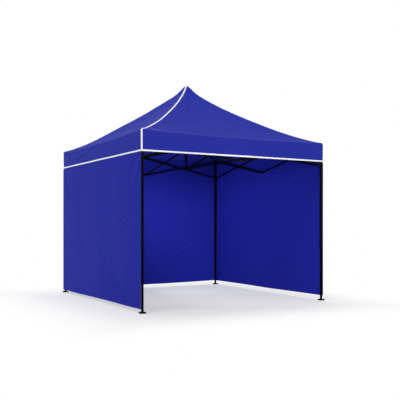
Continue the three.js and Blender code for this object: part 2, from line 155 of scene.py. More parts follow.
class Value:
    """A shader socket that can be added, multiplied and compared like a number."""

    def __init__(self, shading, socket):
        self.shading = shading
        self.socket = socket

    def math(self, operation, other=0.0):
        return self.shading.node("ShaderNodeMath", {"operation": operation}, {0: self, 1: other})

    def __add__(self, other):
        return self.math("ADD", other)

    __radd__ = __add__

    def __sub__(self, other):
        return self.math("SUBTRACT", other)

    def __mul__(self, other):
        return self.math("MULTIPLY", other)

    def __truediv__(self, other):
        return self.math("DIVIDE", other)

    def below(self, limit):
        return self.math("LESS_THAN", limit)

    def share(self):
        """The part after the decimal point, from 0 to 1."""
        return self.math("FRACT")

    def size(self):
        return self.math("ABSOLUTE")

    def wave(self):
        return self.math("SINE")


class Shading:
    """A node tree, and one method that adds any node to it."""

    def __init__(self, tree):
        self.tree = tree

    def plug(self, socket, value):
        if isinstance(value, Value):
            self.tree.links.new(value.socket, socket)
        elif isinstance(value, tuple) and len(value) == 3 and socket.type == "RGBA":
            socket.default_value = (*value, 1.0)
        else:
            socket.default_value = value

    def node(self, kind, settings=None, inputs=None, output=0):
        node = self.tree.nodes.new(kind)
        for key, setting in (settings or {}).items():
            setattr(node, key, setting)
        for key, value in (inputs or {}).items():
            self.plug(node.inputs[key], value)
        return Value(self, node.outputs[output])

    def seen(self):
        """1 for what the camera or a reflection sees, and 0 for other light."""
        direct = self.node("ShaderNodeLightPath", output="Is Camera Ray")
        return direct.math("MAXIMUM", self.node("ShaderNodeLightPath", output="Is Glossy Ray"))


class Finish(Shading):
    """A material, its shader and the coordinates that its patterns read."""

    def __init__(self, name):
        self.material = bpy.data.materials.new(name)
        self.material.use_nodes = True
        super().__init__(self.material.node_tree)
        self.tree.nodes.clear()
        self.shader = self.tree.nodes.new("ShaderNodeBsdfPrincipled")
        self.output = self.tree.nodes.new("ShaderNodeOutputMaterial")
        self.tree.links.new(self.shader.outputs[0], self.output.inputs[0])
        self.relief = None

    def place(self):
        return self.node("ShaderNodeTexCoord", output="Object")

    def cut(self):
        """The piece's own UV map, which is in metres along its threads."""
        return self.node("ShaderNodeTexCoord", output="UV")

    def axis(self, coordinates, letter):
        return self.node("ShaderNodeSeparateXYZ", inputs={0: coordinates}, output=letter)

    def noise(self, coordinates, scale, detail=2.0, roughness=0.5):
        inputs = {"Vector": coordinates, "Scale": scale, "Detail": detail, "Roughness": roughness}
        return self.node("ShaderNodeTexNoise", inputs=inputs)

    def blend(self, share, first, second):
        settings = {"data_type": "RGBA"}
        return self.node("ShaderNodeMix", settings, {0: share, 6: first, 7: second}, output=2)

    def bump(self, height, distance, strength):
        """Adds a layer of relief. Heights are shares of the distance."""
        inputs = {"Height": height, "Distance": distance, "Strength": strength}
        if self.relief is not None:
            inputs["Normal"] = self.relief
        self.relief = self.node("ShaderNodeBump", inputs=inputs)

    def done(self, **inputs):
        for key, value in inputs.items():
            self.plug(self.shader.inputs[key.replace("_", " ")], value)
        if self.relief is not None:
            self.plug(self.shader.inputs["Normal"], self.relief)
        return self.material


THREAD = 0.0016
TAPE_RIB = 0.0013
# How much of a stitch row's pitch the thread shows, and how far from a hem's or a tape's edge it runs
STITCH_SHARE = 0.62
HEM_STITCH_INSET = 0.004
TAPE_STITCH_INSET = 0.0025
# The roof's and the walls' cloth, each with its deep and its clear patches, and the thread
ROOF_TONES = [(0.0178, 0.0262, 0.31), (0.0235, 0.0348, 0.368)]
WALL_TONES = [(0.013, 0.0185, 0.31), (0.0175, 0.0245, 0.368)]
THREAD_TONE = (0.045, 0.055, 0.48)


def woven_height(finish, cut):
    """The relief of a plain weave: warp and weft pass over each other in turn."""
    turn = 2 * math.pi / THREAD
    warp = (finish.axis(cut, "X") * turn).wave()
    weft = (finish.axis(cut, "Y") * turn).wave()
    return warp * weft


def stitched(across, along, place, pitch, width):
    """1 on the stitches of a row that runs along one coordinate at a place on the other."""
    row = (across - place).size().below(width / 2)
    dash = (along / pitch).share().below(STITCH_SHARE)
    return row * dash


def cloth_finish(name, tones, gloss, rows=()):
    """Coated polyester. Rows are its stitch rows: (axis that they lie on, place)."""
    finish = Finish(name)
    place, cut = finish.place(), finish.cut()
    broad = finish.noise(place, scale=1.1)
    fine = finish.noise(place, scale=24.0, detail=3.0, roughness=0.6)
    tone = finish.blend(broad * 0.7 + fine * 0.3, *tones)
    crumple = finish.noise(place, scale=7.0, detail=3.0, roughness=0.45)
    finish.bump(crumple, distance=0.006, strength=0.5)
    finish.bump(fine, distance=0.001, strength=0.35)
    finish.bump(woven_height(finish, cut), distance=0.00008, strength=0.3)
    axes = {letter: finish.axis(cut, letter) for letter in "XY"}
    for letter, where in rows:
        other = "Y" if letter == "X" else "X"
        thread = stitched(axes[letter], axes[other], where, pitch=0.0045, width=0.0009)
        tone = finish.blend(thread * 0.75, tone, THREAD_TONE)
        finish.bump(thread, distance=0.0006, strength=0.6)
    rough = 0.5 + fine * 0.14
    return finish.done(Base_Color=tone, Roughness=rough, Specular_IOR_Level=gloss)


def tape_finish(name, width):
    """Ribbed white binding with a row of stitches near each edge of its face."""
    finish = Finish(name)
    place, cut = finish.place(), finish.cut()
    along, across = finish.axis(cut, "X"), finish.axis(cut, "Y")
    soil = finish.noise(place, scale=9.0, detail=3.0)
    tone = finish.blend(soil * 0.4, (0.96, 0.96, 0.95), (0.9, 0.9, 0.91))
    rib = (along * (2 * math.pi / TAPE_RIB)).wave()
    finish.bump(rib, distance=0.0001, strength=0.5)
    for edge in (TAPE_STITCH_INSET, width - TAPE_STITCH_INSET):
        thread = stitched(across, along, edge, pitch=0.004, width=0.0008)
        tone = finish.blend(thread * 0.5, tone, (0.62, 0.62, 0.63))
        finish.bump(thread, distance=0.0004, strength=0.7)
    pucker = finish.noise(place, scale=60.0)
    finish.bump(pucker, distance=0.0012, strength=0.35)
    return finish.done(Base_Color=tone, Roughness=0.62)


def powder_coat(name, gloss):
    """Black powder coat on steel: a fine orange peel, and dust that dulls it."""
    finish = Finish(name)
    place = finish.place()
    peel = finish.noise(place, scale=420.0)
    dust = finish.noise(place, scale=14.0, detail=4.0, roughness=0.6)
    finish.bump(peel, distance=0.0002, strength=0.35)
    tone = finish.blend(dust, (0.002, 0.0019, 0.0017), (0.0042, 0.004, 0.0036))
    return finish.done(Base_Color=tone, Roughness=0.42 + dust * 0.22, Specular_IOR_Level=gloss)


def moulded_nylon():
    """Black glass-filled nylon: a matt spark-eroded grain with slight flow marks."""
    finish = Finish("black_moulded_nylon")
    place = finish.place()
    grain = finish.noise(place, scale=900.0)
    flow = finish.noise(place, scale=30.0)
    finish.bump(grain, distance=0.00015, strength=0.5)
    tone = finish.blend(flow, (0.0026, 0.0026, 0.0026), (0.005, 0.0049, 0.0047))
    return finish.done(Base_Color=tone, Roughness=0.5 + grain * 0.16, Specular_IOR_Level=0.05)


def blackened_zinc():
    """Black passivated zinc, with dull patches and marks from the setting tool."""
    finish = Finish("blackened_zinc")
    place = finish.place()
    patch = finish.noise(place, scale=160.0, detail=3.0)
    tone = finish.blend(patch, (0.02, 0.02, 0.022), (0.042, 0.041, 0.04))
    finish.bump(patch, distance=0.0002, strength=0.4)
    return finish.done(Base_Color=tone, Metallic=1.0, Roughness=0.3 + patch * 0.25)


# Cloth shapes


def quarter_turn(points, quarter):
    """Points of a side that faces -Y, turned to the side they belong to."""
    angle = quarter * math.pi / 2
    cos, sin = round(math.cos(angle)), round(math.sin(angle))
    x, y, z = points.T
    return np.stack([cos * x - sin * y, sin * x + cos * y, z], axis=1)


def turned(side, x, y):
    """One place of a side that faces -Y, turned to its own side."""
    return Vector(quarter_turn(np.array([[x, y, 0.0]]), side)[0])


def through(out_shares, up_shares, at):
    """A smooth curve through the shares, read at other places."""
    x, y = np.array(out_shares, float), np.array(up_shares, float)
    slope = np.gradient(y, x)
    k = np.clip(np.searchsorted(x, at, side="right") - 1, 0, len(x) - 2)
    gap = x[k + 1] - x[k]
    t = (at - x[k]) / gap
    rise = y[k + 1] - y[k]
    lead, trail = slope[k] * gap, slope[k + 1] * gap
    return y[k] + t * (lead + t * (3 * rise - 2 * lead - trail + t * (lead + trail - 2 * rise)))


def smooth(share):
    share = np.clip(share, 0, 1)
    return share * share * (3 - 2 * share)


def ramp(at, start, reach):
    """0 up to a start, then smoothly up to 1 over a reach."""
    return smooth((at - start) / reach)


def swell(at, full, fading, end):
    """Rises from 0 to 1 at full, holds until it is fading, and is 0 again at the end."""
    return ramp(at, 0, full) * ramp(end - at, 0, end - fading)


def crease(x, z, x0, z0, x1, z1, width, height, bow):
    """A fold between two points of a sheet: a ridge with a hollow on one side. Bow bends it."""
    length = math.hypot(x1 - x0, z1 - z0)
    ux, uz = (x1 - x0) / length, (z1 - z0) / length
    t = np.clip(((x - x0) * ux + (z - z0) * uz) / length, 0, 1)
    aside = (x - x0) * uz - (z - z0) * ux - bow * 4 * t * (1 - t)
    taper = np.sin(math.pi * t) ** 0.7
    ridge = np.exp(-((aside / width) ** 2))
    hollow = np.exp(-(((aside - 1.9 * width) / (1.5 * width)) ** 2))
    return height * taper * (ridge - 0.6 * hollow)


def creases(x, z, folds):
    return sum(crease(x, z, *fold) for fold in folds)


def fan(x, z, corner, reach, count, height, turn):
    """Tension folds that spread from a corner and die away."""
    dx, dz = x - corner[0], z - corner[1]
    away = np.hypot(dx, dz)
    angle = np.arctan2(dz, dx)
    near = ramp(away, 0, reach / 4) * np.exp(-((away / reach) ** 2))
    return height * near * np.sin(count * angle + turn)


def packing_fold(at, places, height):
    """The sharp lines that stay in cloth which was stored folded."""
    total = np.zeros_like(at)
    for k, place in enumerate(places):
        way = 1 if k % 2 else -1
        total += way * height * np.exp(-((np.abs(at - place) / FOLD_LINE_WIDTH) ** 1.3))
    return total


# The roof's soft folds. Spans, starts and the patch at the peak are shares of the way to the eave.
LEAN_SPAN = (0.25, 0.5, 0.85)
EAVE_SAG_START = 0.75
PULL_SPAN = (0.12, 0.25, 0.75)
PULL_HEIGHT = 0.005
WAVE_START = 0.3
WAVE_HEIGHT = 0.0028
PATCH_EDGE = 0.235
PATCH_BOW = 0.09
PATCH_SEAM = 0.018
PATCH_PUCKER = 0.0058
TURN_START = 0.88
# Lines that stay from storing the roof folded: out from the peak, and across from a side's middle
ROOF_FOLD_LEVELS = [0.52, 1.02]
ROOF_FOLD_COLUMNS = [-0.5, 0.0, 0.5]
GORE_CREASES = {
    # Across from the side's middle and out from the peak: from, to, width, height, bow
    0: [
        (-0.95, 1.18, 0.1, 1.3, 0.03, 0.006, 0.03), (-0.6, 0.72, 0.35, 0.98, 0.032, 0.006, -0.04),
        (0.05, 0.45, 0.75, 1.12, 0.028, 0.0055, 0.05), (-0.3, 0.55, -0.85, 1.1, 0.026, 0.005, -0.04),
        (0.55, 0.95, 1.25, 1.38, 0.024, 0.005, 0.02),
    ],
    1: [
        (-0.85, 1.1, 0.15, 1.22, 0.03, 0.006, -0.03), (-0.1, 0.5, -0.7, 1.15, 0.026, 0.0055, 0.04),
        (0.15, 0.62, 0.95, 1.2, 0.028, 0.006, -0.05),
    ],
    2: [
        (-1.05, 1.25, -0.1, 1.16, 0.03, 0.006, 0.03), (0.1, 0.48, 0.62, 1.2, 0.028, 0.0055, 0.04),
        (-0.45, 0.66, 0.2, 1.02, 0.026, 0.005, -0.03),
    ],
    3: [
        (-1.1, 1.3, 0.25, 1.24, 0.03, 0.0065, -0.03), (0.1, 0.7, 0.95, 1.22, 0.03, 0.006, 0.05),
        (-0.2, 0.5, -0.75, 1.05, 0.028, 0.0055, -0.04),
    ],
}


def gore_height(side, a, r):
    """The height of the roof: a runs along a side from -1 to 1, and r from 0 at the peak to 1."""
    x, d = ROOF_HALF * r * a, ROOF_HALF * r
    belly = 1 - a**2
    # Each side's waves start at another point of their turn
    turn = 1.7 * side
    lean = HIP_LEANS[side] * (1 - a) / 2 + HIP_LEANS[(side + 1) % 4] * (1 + a) / 2
    sag = GORE_SAG * np.sin(math.pi * np.sqrt(np.clip(1 - r, 0, 1)))
    eave = EAVE_SAG * ramp(r, EAVE_SAG_START, 1 - EAVE_SAG_START)
    up = EAVE + ROOF_RISE * through(HIP_OUT_SHARES, HIP_UP_SHARES, r)
    up += lean * swell(r, *LEAN_SPAN) - (sag + eave) * belly
    for end in (-1, 1):
        corner = (end * ROOF_HALF, ROOF_HALF)
        up += fan(x, d, corner, reach=0.55, count=13, height=0.006, turn=turn + end) * belly
    patch = r - PATCH_EDGE - PATCH_BOW * a**2
    pucker = np.exp(-((patch / PATCH_SEAM) ** 2)) * (1 + 0.6 * np.sin(a * 9 + 2 * turn))
    up += PATCH_PUCKER * pucker * belly * np.sin(a * 33 + turn + 40 * patch)
    up += PULL_HEIGHT * swell(r, *PULL_SPAN) * belly * np.sin(a * 7.5 + 2.3 * turn + 2 * r)
    wave = np.sin(9 * x + 5 * d + turn) * np.sin(4 * x - 7 * d + 2 * turn)
    up += WAVE_HEIGHT * wave * ramp(r, 0, WAVE_START) * belly
    up += creases(x, d, GORE_CREASES[side]) * belly
    folds = packing_fold(d, ROOF_FOLD_LEVELS, height=0.0016)
    folds += packing_fold(x, ROOF_FOLD_COLUMNS, height=0.0014)
    return up + folds * ramp(r, 0, 1 / 4) * ramp(belly, 0, 1 / 6)


def turn_corner(along, out, radius):
    """Rounds the corner of a square ring in plan. The two sides that meet there share its middle."""
    gap = out - np.abs(along)
    t = 0.5 * np.clip(1 - gap / radius, 0, 1)
    bent = np.sign(along) * (out - radius * (1 - t) ** 2)
    return np.where(gap < radius, bent, along), out - radius * t**2


def gore_ring(side, a, r):
    """A level of the roof over a side that faces -Y."""
    d = ROOF_HALF * r
    radius = np.maximum(EAVE_TURN * ramp(r, TURN_START, 1 - TURN_START), 1e-6)
    along, out = turn_corner(d * a, d, radius)
    return np.stack([along, -out, gore_height(side, a, r)], axis=1)


def gore_points(side, a, r):
    points = quarter_turn(gore_ring(side, a, r), side)
    points[:, :2] += np.exp(-((r / LEAN_SHARE) ** 2))[:, None] * np.array(PEAK_LEAN)
    return points


STRIP_START = 1 - EAVE_ROUND / ROOF_HALF

# How far a valance flares at its hem, how deep its ripples are, and how far it may lie behind its plane
VALANCE_FLARE = 0.003
VALANCE_RIPPLE = 0.0016
VALANCE_BACK = 0.002
VALANCE_CREASES = {
    # Along from the side's middle and up from the ground: from, to, width, height, bow
    0: [
        (-0.5, 2.135, -0.08, 2.27, 0.02, 0.013, 0.006), (0.17, 2.28, 0.45, 2.135, 0.02, 0.013, 0.004),
        (0.0, 2.305, 0.2, 2.257, 0.012, 0.006, 0.0), (-1.45, 2.23, -1.1, 2.245, 0.014, 0.0065, 0.0),
        (0.8, 2.115, 1.2, 2.245, 0.018, 0.0065, 0.005),
    ],
    1: [
        (-1.05, 2.125, -0.45, 2.265, 0.022, 0.01, 0.006),
        (0.25, 2.275, 0.95, 2.125, 0.02, 0.0095, -0.006),
        (-0.2, 2.115, 0.05, 2.235, 0.016, 0.006, 0.004),
    ],
    2: [
        (-0.85, 2.275, -0.3, 2.125, 0.02, 0.01, 0.006), (0.35, 2.13, 1.1, 2.265, 0.022, 0.01, -0.006),
        (1.15, 2.235, 1.45, 2.195, 0.014, 0.0055, 0.0),
    ],
    3: [
        (-0.98, 2.13, 0.04, 2.293, 0.018, 0.0095, -0.006),
        (0.02, 2.293, 1.3, 2.115, 0.02, 0.0085, -0.01), (0.62, 2.295, 0.9, 2.24, 0.016, 0.0055, 0.0),
        (0.7, 2.24, 1.44, 2.22, 0.016, 0.006, -0.006),
    ],
}


def valance_out(side, a, z):
    """How far a valance stands out from the plane under the eave."""
    down = np.clip((EAVE - z) / (EAVE - HEM), 0, 1)
    belly = 1 - a**2
    x = ROOF_HALF * a
    turn = 2.1 * side + 0.4
    out = VALANCE_FLARE * down * belly * (1 + np.sin(3 * math.pi * a + turn))
    out += VALANCE_RIPPLE * belly * np.sin(11 * x + 9 * (z - HEM) + turn) * ramp(down, 0, 1 / 2)
    out += creases(x, z, VALANCE_CREASES[side])
    for end in (-1, 1):
        corner = (end * ROOF_HALF, EAVE)
        out += fan(x, z, corner, reach=0.3, count=9, height=0.0135, turn=turn) * belly
    return np.maximum(out, -VALANCE_BACK)


def turn_at(z):
    """How far from a corner the valances turn round it at a height."""
    return HEM_TURN + (EAVE_TURN - HEM_TURN) * ramp(z - HEM, start=0.02, reach=0.12)


def valance_points(side, a, u):
    """u runs from 0 at the hem to 1 at the eave, and on to 2 round the eave's soft edge."""
    eave = gore_height(side, a, np.ones_like(a))
    top = eave - CORNER_ROUND - (EAVE_ROUND - CORNER_ROUND) * (1 - a**6)

    def ring(stand, z, radius):
        along, out = turn_corner(ROOF_HALF * a, ROOF_HALF + stand, radius)
        return np.stack([along, -out, z], axis=1)

    z = HEM + (top - HEM) * np.clip(u, 0, 1)
    flat = ring(valance_out(side, a, z), z, turn_at(z))
    t = np.clip(u - 1, 0, 1)[:, None]
    foot = ring(valance_out(side, a, top), top, turn_at(top))
    edge = ring(0.0, eave, EAVE_TURN)
    roof = gore_ring(side, a, np.full_like(a, STRIP_START))
    bend = (1 - t) ** 2 * foot + 2 * t * (1 - t) * edge + t**2 * roof
    return quarter_turn(np.where(u[:, None] <= 1, flat, bend), side)


def wall_span(side):
    """Where a wall begins and ends along its side, seen from outside with its left end first."""
    low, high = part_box(f"{SIDES[side]}_wall")
    return {1: (low.y - LEG_LAP, high.y), 2: (-high.x, -low.x), 3: (-high.y, -low.y + LEG_LAP)}[side]


# How deep a wall's broad waves and ripples are, how far it may lie behind its plane at its top, and
# how much further where it hangs free
WALL_WAVE = 0.0026
WALL_RIPPLE = 0.0007
WALL_BACK = 0.0035
WALL_HANG_BACK = 0.008
# How much higher the listed folds stand, and how much of all folds is left at a wall's ends
WALL_FOLD_SCALE = 1.25
END_FOLD_SHARE = 0.3
# The laps at the hems and the seam, and the puckers that the seam's thread draws above a height
LAP = 0.0007
LAP_EDGE = 0.002
SEAM_HALF = 0.011
SEAM_STITCH = 0.006
PUCKER_DEPTH = 0.0016
PUCKER_PITCH = 0.042
PUCKER_REACH = 0.016
PUCKER_START = 1.35
WALL_FOLD_SHARES = [0.25, 0.75]
WALL_CREASES = {
    # Along from its left end and up from the ground: from, to, width, height, bow. The left wall's
    # folds are the photograph's.
    3: [
        (1.55, 0.76, 3.05, 0.1, 0.018, 0.011, 0.15), (2.0, 1.91, 2.95, 1.765, 0.018, 0.0062, 0.012),
        (2.3, 1.8, 2.97, 1.73, 0.014, 0.004, 0.0), (2.45, 1.38, 2.95, 1.23, 0.018, 0.006, -0.01),
        (2.22, 1.33, 2.95, 1.02, 0.02, 0.007, 0.02), (1.7, 1.32, 2.1, 1.0, 0.018, 0.0065, 0.015),
        (2.02, 1.24, 2.58, 0.95, 0.02, 0.006, 0.02), (0.1, 0.82, 1.9, 0.82, 0.02, 0.006, -0.05),
        (0.06, 2.01, 1.26, 1.84, 0.022, 0.005, 0.02), (0.3, 1.69, 0.96, 1.6, 0.02, 0.004, 0.01),
        (0.12, 0.7, 0.6, 0.56, 0.022, 0.0045, 0.0), (2.78, 0.53, 2.965, 0.52, 0.011, 0.006, 0.0),
        (2.72, 0.22, 2.965, 0.155, 0.011, 0.006, 0.0),
    ],
    1: [
        (0.1, 0.25, 1.3, 1.1, 0.024, 0.006, 0.08), (0.05, 1.85, 0.95, 1.72, 0.018, 0.005, -0.02),
        (1.6, 1.6, 2.7, 1.25, 0.022, 0.0045, 0.04), (1.9, 0.7, 2.85, 0.35, 0.02, 0.005, -0.05),
        (0.6, 1.45, 1.35, 1.05, 0.018, 0.004, 0.03),
    ],
    2: [
        (0.15, 1.88, 1.05, 1.7, 0.02, 0.005, 0.03), (2.9, 1.88, 2.05, 1.66, 0.02, 0.0055, -0.03),
        (2.35, 1.75, 2.65, 0.35, 0.06, 0.009, 0.16), (0.35, 0.95, 1.3, 0.45, 0.022, 0.005, 0.05),
        (1.75, 1.25, 2.45, 0.7, 0.018, 0.004, -0.04),
    ],
}


def wall_out(side, x, z, width):
    """How far a wall stands out of its plane, x from its left end and z above the ground."""
    form = WALLS[side]
    ends = np.minimum(x, width - x)
    along = x / width
    low = np.clip((WALL_TOP - z) / (WALL_TOP - WALL_BOTTOM), 0, 1)
    edge = ramp(ends, start=0, reach=0.22)
    hang = ramp(HEM - z, start=0.06, reach=0.5)
    free = ramp(HEM - z, start=0.03, reach=0.12)
    turn = 1.9 * side
    out = WALL_WAVE * hang * edge * np.sin(2 * math.pi * form["waves"] * (along + form["lean"] * low))
    out += WALL_RIPPLE * hang * edge * np.sin(2 * math.pi * (7.3 * along - 0.6 * low) + turn)
    out += WALL_FOLD_SCALE * creases(x, z, WALL_CREASES[side]) * free
    out += packing_fold(z, FOLD_LINE_HEIGHTS, height=0.0022) * ramp(HEM - z, start=0, reach=0.1)
    out += packing_fold(x, [width * share for share in WALL_FOLD_SHARES], height=0.0014) * free
    for corner in ((0, HEM), (width, HEM)):
        out += fan(x, z, corner, reach=0.42, count=8, height=0.0045, turn=turn) * free
    out *= END_FOLD_SHARE + (1 - END_FOLD_SHARE) * ramp(ends, start=0, reach=0.07)
    hem = np.minimum(ends, z - WALL_BOTTOM)
    seam = np.abs(x - width * form["seam_share"])
    out += LAP * (ramp(WALL_HEM - hem, 0, LAP_EDGE) + ramp(SEAM_HALF - seam, 0, LAP_EDGE))
    gathered = np.exp(-((seam / PUCKER_REACH) ** 2)) * free * ramp(z, PUCKER_START, reach=0.2)
    out += PUCKER_DEPTH * gathered * np.sin(2 * math.pi * z / PUCKER_PITCH)
    return np.maximum(out, -WALL_BACK - WALL_HANG_BACK * hang)


def wall_points(side, width, start, x, z):
    """A wall's outer face. Its foot rises or falls a little from one end to the other."""
    first, last = WALLS[side]["feet"]
    down = 1 - np.clip((z - WALL_BOTTOM) / (WALL_TOP - WALL_BOTTOM), 0, 1)
    foot = first + (last - first) * x / width - WALL_BOTTOM + FOOT_WAVE * np.sin(9 * x / width + side)
    gap = np.clip((ROOF_HALF - np.abs(start + x)) / HEM_TURN, 0, 1)
    tuck = WALL_TUCK + HEM_TURN * (1 - np.sqrt(gap)) ** 2
    out = wall_out(side, x, z, width)
    out -= tuck * ramp(z - HEM, start=-TUCK_DROP, reach=TUCK_DROP) * (gap < 1)
    points = np.stack([start + x, -(ROOF_HALF - WALL_INSET) - out, z + foot * down**2], axis=1)
    return quarter_turn(points, side)


# Meshes

# Grid lines within this share of a step of an extra line give way to it
CROWDED_SHARE = 0.18
# Gaps that count as none between lines and points, and how far aside a normal is felt
NEAR = 1e-5
MERGED = 1e-6
PROBE = 1e-4


def placed(name, data):
    thing = bpy.data.objects.new(name, data)
    bpy.context.scene.collection.objects.link(thing)
    return thing


def edit(on=True):
    bpy.ops.object.mode_set(mode="EDIT" if on else "OBJECT")


def shade(degrees):
    """Shades smooth across edges that bend by less than this."""
    bpy.ops.object.shade_smooth_by_angle(angle=math.radians(degrees))


def apply_modifier(piece, kind, **settings):
    bpy.context.view_layer.objects.active = piece
    modifier = piece.modifiers.new(kind.lower(), kind)
    for key, value in settings.items():
        setattr(modifier, key, value)
    bpy.ops.object.modifier_apply(modifier=modifier.name)


def lines(low, high, step, extras=()):
    """Grid lines from low to high, about a step apart, with extra lines beside sharp features."""
    places = np.linspace(low, high, round((high - low) / step) + 1)
    room = step * CROWDED_SHARE
    kept = [p for p in places if all(abs(p - e) > room for e in extras) or p in (low, high)]
    added = [e for e in extras if low + NEAR < e < high - NEAR]
    return np.array(sorted(set(kept + added)))


def beside(places, offsets):
    return [place + way * offset for place in places for offset in offsets for way in (-1, 1)]


def outward_normals(surface, a, u):
    """The normals of a surface, on the side away from the canopy's middle."""
    along = surface(a + PROBE, u) - surface(a - PROBE, u)
    rise = surface(a, u + PROBE) - surface(a, u - PROBE)
    normals = np.cross(along, rise)
    outwards = surface(a, u)
    outwards[:, 2] = ROOF_HALF
    normals *= np.sign((normals * outwards).sum(axis=1))[:, None]
    return normals / np.linalg.norm(normals, axis=1)[:, None]


def new_grid(name, columns, rows):
    """A flat grid, with the column and the row of each of its points."""
    bpy.ops.mesh.primitive_grid_add(x_subdivisions=columns - 1, y_subdivisions=rows - 1, size=2)
    piece = bpy.context.object
    piece.name = name
    places = np.empty(len(piece.data.vertices) * 3)
    piece.data.vertices.foreach_get("co", places)
    shares = (places.reshape(-1, 3) + 1) / 2
    column = np.rint(shares[:, 0] * (columns - 1)).astype(int)
    row = np.rint(shares[:, 1] * (rows - 1)).astype(int)
    return piece, column, row


def lay(piece, places, flat, material):
    """Puts a grid's points in their places, with their flat ones as its UV map."""
    mesh = piece.data
    mesh.vertices.foreach_set("co", places.ravel())
    corners = np.empty(len(mesh.loops), int)
    mesh.loops.foreach_get("vertex_index", corners)
    mesh.uv_layers[0].data.foreach_set("uv", flat[corners].ravel())
    mesh.materials.append(material)
    mesh.update()


def sheet(name, across, up, surface, cut, material):
    """A cloth sheet over a grid of lines. The surface gives its outer face, and cut its flat UV map."""
    piece, column, row = new_grid(name, len(across), len(up))
    a, u = across[column], up[row]
    normals = outward_normals(surface, a, u)
    lay(piece, surface(a, u), np.stack(cut(a, u), axis=1), material)
    apply_modifier(piece, "SOLIDIFY", thickness=CLOTH, offset=-1)
    piece.data.shade_smooth()
    piece.data.normals_split_custom_set_from_vertices(np.concatenate([normals, -normals]))
    return piece


def tape(name, stations, section, material):
    """A closed band. stations is (n, k, 3): the k points of its section at each of n places along it."""
    n, k = stations.shape[:2]
    piece, column, row = new_grid(name, n, k + 1)
    gaps = np.linalg.norm(np.diff(stations.mean(axis=1), axis=0), axis=1)
    along = np.concatenate([[0], np.cumsum(gaps)])
    widths = np.array([*section, section[0]])
    flat = np.stack([along[column], widths[row]], axis=1)
    lay(piece, stations[column, row % k], flat, material)
    edit()
    bpy.ops.mesh.select_mode(type="VERT")
    bpy.ops.mesh.select_all(action="SELECT")
    bpy.ops.mesh.remove_doubles(threshold=MERGED)
    bpy.ops.mesh.select_all(action="DESELECT")
    bpy.ops.mesh.select_non_manifold()
    bpy.ops.mesh.fill_holes(sides=0)
    bpy.ops.mesh.select_all(action="SELECT")
    bpy.ops.mesh.normals_make_consistent(inside=False)
    edit(False)
    shade(50)
    return piece


def seam_binding(kind, side, levels, points, insets, half, thick_shares, material):
    """A tape over the seam at a side's left end, with a rolled edge that stands out of it.

    points gives a side's surface, and insets how far in the tape's edge lies, at each level.
    """
    before, after = ((side - 1) % 4, 1), (side, -1)
    faces, normals = [], []
    for share in SEAM_SHARES:
        edge = 1 - np.minimum(abs(share) * insets, TAPE_REACH_SHARE)
        ways = [before] * (share <= 0) + [after] * (share >= 0)
        face = sum(points(own, way * edge, levels) for own, way in ways) / len(ways)
        normal = sum(outward_normals(partial(points, own), way * edge, levels) for own, way in ways)
        faces.append(face)
        normals.append(normal / np.linalg.norm(normal, axis=1)[:, None])
    face, normal = np.stack(faces, axis=1), np.stack(normals, axis=1)
    thick = np.array(thick_shares)[None, :, None] * TAPE_LIFT
    back = (face - normal * CLOTH / 2)[:, ::-1]
    stations = np.concatenate([face + normal * thick, back], axis=1)
    across = [(share + 1) * half for share in SEAM_SHARES]
    return tape(f"{CORNERS[side]}_{kind}_binding", stations, [*across, *across[::-1]], material)


# Finishes of the frame and of the cloth

steel = powder_coat("black_powder_coat", 0.03)
scuffed_steel = powder_coat("scuffed_powder_coat", 0.0)
nylon = moulded_nylon()
zinc = blackened_zinc()
roof_cloth = cloth_finish("roof_cloth", ROOF_TONES, 0.02)
valance_rows = [("Y", EAVE - HEM - HEM_STITCH_INSET)]
valance_cloth = cloth_finish("valance_cloth", ROOF_TONES, 0.04, valance_rows)
hem_tape = tape_finish("hem_binding", HEM_TAPE)
hip_tape = tape_finish("hip_binding", 2 * HIP_TAPE)
corner_tape = tape_finish("corner_binding", 2 * CORNER_TAPE)

MOULDED = ["knuckle", "hub", "button", "mast_tip", "slider"]
for name, node in frame["nodes"].items():
    plastic = "bar" not in name and any(word in name for word in MOULDED)
    coat = scuffed_steel if name.endswith("inner_leg") else steel
    node.data.materials.clear()
    node.data.materials.append(nylon if plastic else coat)


# Fasteners and welds

FOOT_HALF = (LEG_BOX[1].x - LEG_BOX[0].x) / 2
FOOT_TOP = 0.006
TUBE_HALF = 0.0125
WELD_LEG = 0.003
SHOE_WALL = 0.0045
SHOE_HEIGHT = 0.018
SHOE_WEB = 0.002
SHOE_GAP = 0.0003
WELD_GAP = 0.0005
SHOE_EDGE = 0.0008
RIPPLE = 0.0003
RIPPLE_TURN = 2600
HEAD_RADIUS = 0.0062
HEAD_HEIGHT = 0.0016
HEAD_STEPS = (0.0012, 0.0016, 0.0018)
# The least that a level face's normal points up or down
LEVEL = 0.9
# How far out a truss's plates, the rivets of its bars and the inner face of its inner bars stand
PLATE_FACE = -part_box("front_upper_knuckle")[0].y
RIVET_FACE = -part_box("front_bar_to_front_left_top")[0].y
INNER_FACE = -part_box("front_bar_to_front_left_top")[1].y


def select_faces(mesh_object, chosen):
    """Selects the faces whose centre and normal pass a test, and leaves edit mode on."""
    edit()
    bpy.ops.mesh.select_all(action="DESELECT")
    edit(False)
    for face in mesh_object.data.polygons:
        face.select = chosen(face.center, face.normal)
    edit()
    bpy.ops.mesh.select_mode(type="FACE")


def block(width, height, place=(0, 0, 0)):
    """A square block round a place."""
    bpy.ops.mesh.primitive_cube_add(size=width, location=place)
    added = bpy.context.object
    added.scale = (1, 1, height / width)
    bpy.ops.object.transform_apply(location=True, scale=True)
    return added


